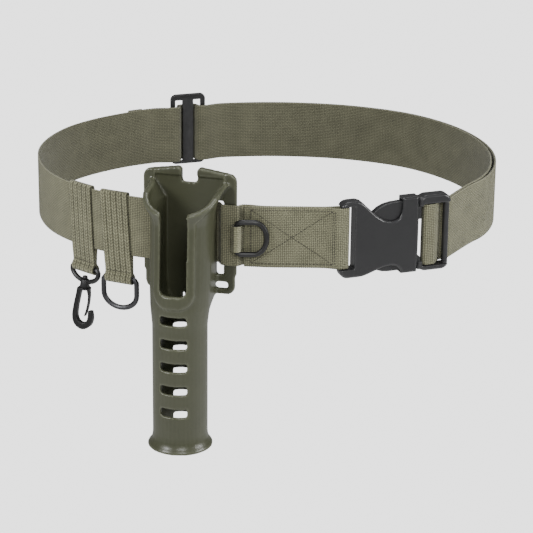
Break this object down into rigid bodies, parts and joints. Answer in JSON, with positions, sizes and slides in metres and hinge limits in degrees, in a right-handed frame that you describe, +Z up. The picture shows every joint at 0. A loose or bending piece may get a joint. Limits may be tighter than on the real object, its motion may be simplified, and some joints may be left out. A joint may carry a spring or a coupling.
{
  "type": "fishing fighting belt",
  "caption": "Olive webbing waist belt with a moulded rod holder in front, a side-release buckle, a slide adjuster, and hanging loops that carry a swivel snap hook and a D-ring.",
  "frame": {"origin": "centre of the waist opening at half the belt's height", "axes": "+Z up, +X to the belt's right as seen from in front, and the front of the belt with its rod holder faces -Y"},
  "size_m": [0.3787, 0.3348, 0.2205],
  "materials": {
    "webbing": "matte coarse woven nylon",
    "olive_plastic": "satin moulded plastic",
    "black_plastic": "satin moulded plastic",
    "dark_metal": "dark plated steel"
  },
  "bodies": {
    "belt": {"belt_webbing": "webbing", "rod_holder": "olive_plastic", "buckle_female": "black_plastic", "buckle_male": "black_plastic", "tri_glide": "black_plastic", "hanger_hook": "webbing", "hanger_ring": "webbing", "d_ring_tab": "webbing"},
    "eye": {"snap_eye": "black_plastic"},
    "hook": {"snap_hook": "black_plastic"},
    "hanging_ring": {"d_ring_hanging": "dark_metal"},
    "side_ring": {"d_ring_side": "black_plastic"}
  },
  "joints": [
    {"name": "eye_swing", "type": "hinge", "parent": "belt", "child": "eye", "pos_m": [-0.14184, -0.10107, -0.0427], "axis": [0.7602, -0.6497, 0], "range_deg": [-60, 60]},
    {"name": "hook_swivel", "type": "hinge", "parent": "eye", "child": "hook", "pos_m": [-0.14287, -0.10228, -0.06093], "axis": [0.0566, 0.0663, 0.9962], "continuous": true},
    {"name": "hanging_ring_swing", "type": "hinge", "parent": "belt", "child": "hanging_ring", "pos_m": [-0.1131, -0.11941, -0.0446], "axis": [0.9134, -0.407, 0], "range_deg": [-70, 70]},
    {"name": "side_ring_swing", "type": "hinge", "parent": "belt", "child": "side_ring", "pos_m": [-0.02073, -0.14947, 0], "axis": [0, 0, -1], "range_deg": [0, 100]}
  ]
}
